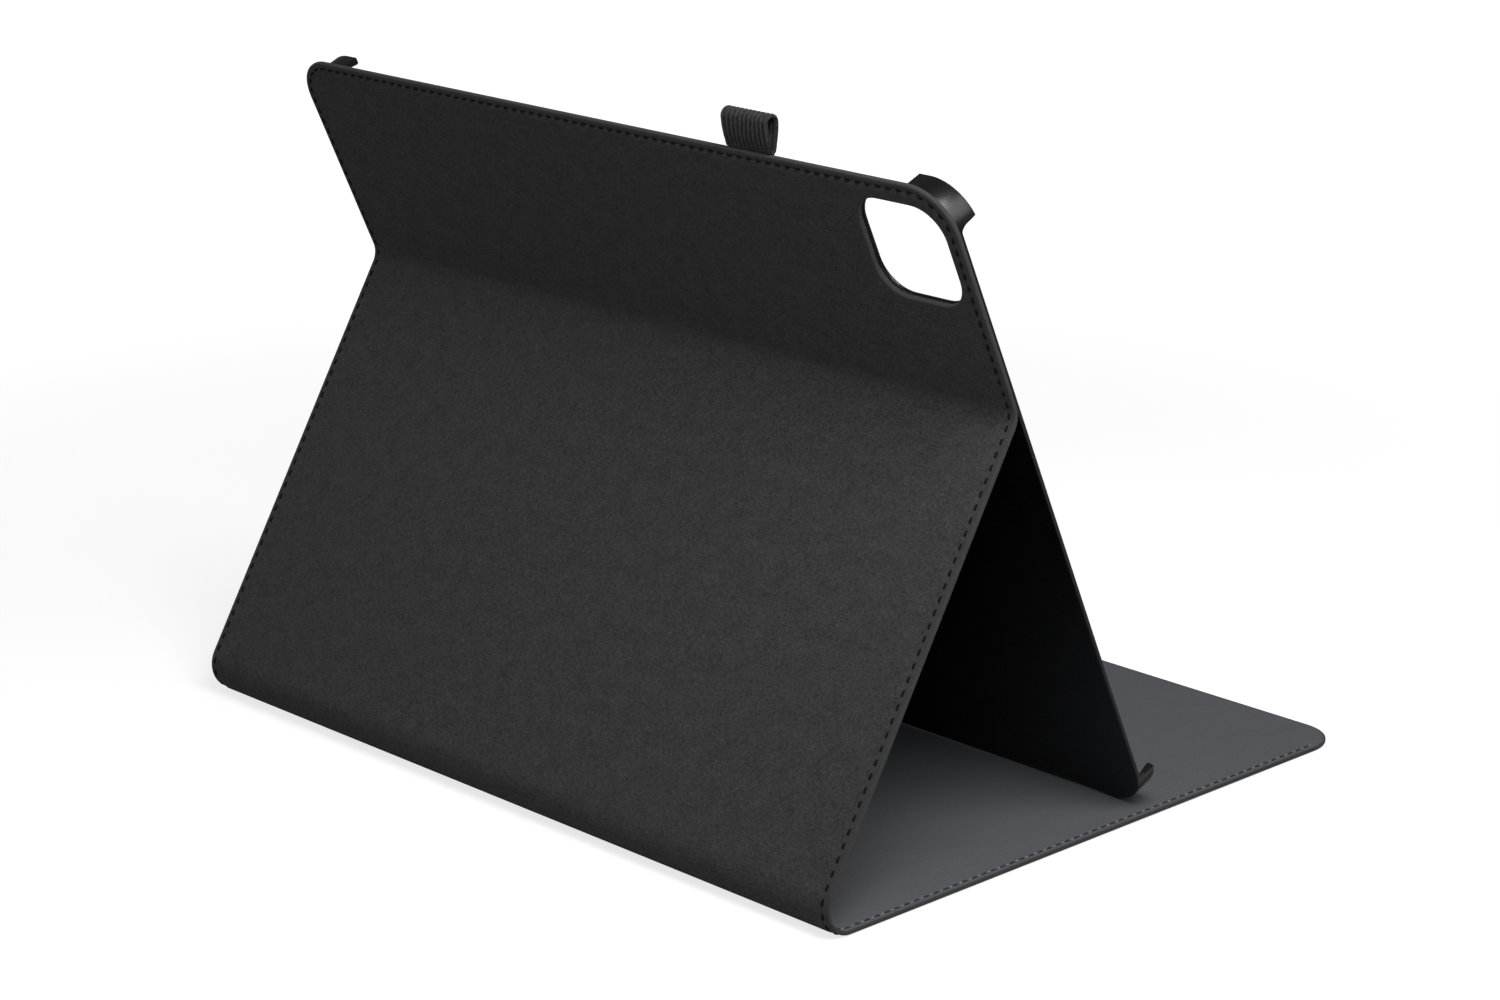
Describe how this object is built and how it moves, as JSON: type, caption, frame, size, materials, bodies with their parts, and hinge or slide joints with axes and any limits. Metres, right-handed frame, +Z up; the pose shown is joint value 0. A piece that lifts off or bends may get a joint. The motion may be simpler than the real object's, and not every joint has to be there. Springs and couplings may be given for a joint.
{
  "type": "tablet case",
  "caption": "Folding fabric stand case: soft cover strip with front panel, spine and strut, bonded to a moulded tray with hooked corner clips, a corner window and a pen loop.",
  "frame": {"origin": "middle of the footprint, on the table under the front panel", "axes": "+X along the creases, +Y to the rear where the strut stands, +Z up; the tray opens towards -Y"},
  "size_m": [0.286, 0.227, 0.2154],
  "materials": {
    "outer_fabric": "fine dark heather woven textile bonded to a thin backing",
    "grey_board": "plain stiffening board, hidden",
    "lining_fabric": "smooth cool-grey microfibre",
    "tray_plastic": "black moulded plastic, satin back and glossy clips",
    "adhesive": "thin double-sided adhesive sheet, hidden",
    "elastic": "black ribbed elastic webbing",
    "magnet": "nickel-plated disc, hidden"
  },
  "bodies": {
    "front": {"front_skin": "outer_fabric", "front_board": "grey_board", "front_lining": "lining_fabric", "magnet_1": "magnet", "magnet_2": "magnet", "magnet_3": "magnet", "magnet_4": "magnet", "front_crease": "outer_fabric"},
    "spine": {"spine_skin": "outer_fabric", "spine_board": "grey_board", "spine_lining": "lining_fabric", "spine_crease": "outer_fabric"},
    "strut": {"strut_skin": "outer_fabric", "strut_board": "grey_board", "strut_lining": "lining_fabric", "fold_crease": "outer_fabric"},
    "tray": {"upper_skin": "outer_fabric", "upper_board": "grey_board", "bond_sheet": "adhesive", "tray_shell": "tray_plastic", "pen_loop": "elastic"}
  },
  "joints": [
    {"name": "cover_hinge", "type": "hinge", "parent": "front", "child": "spine", "pos_m": [0, 0.11245, 0.0011], "axis": [-1, 0, 0], "range_deg": [0, 90]},
    {"name": "stand_hinge", "type": "hinge", "parent": "spine", "child": "strut", "pos_m": [0, 0.11245, 0.0127], "axis": [-1, 0, 0], "range_deg": [-12, 24.4]},
    {"name": "tray_fold", "type": "hinge", "parent": "strut", "child": "tray", "pos_m": [0, 0.0389, 0.13534], "axis": [-1, 0, 0], "range_deg": [-54.1, 26.5]}
  ],
  "couplings": [
    {"joint": "stand_hinge", "follows": "tray_fold", "ratio": -0.45}
  ]
}
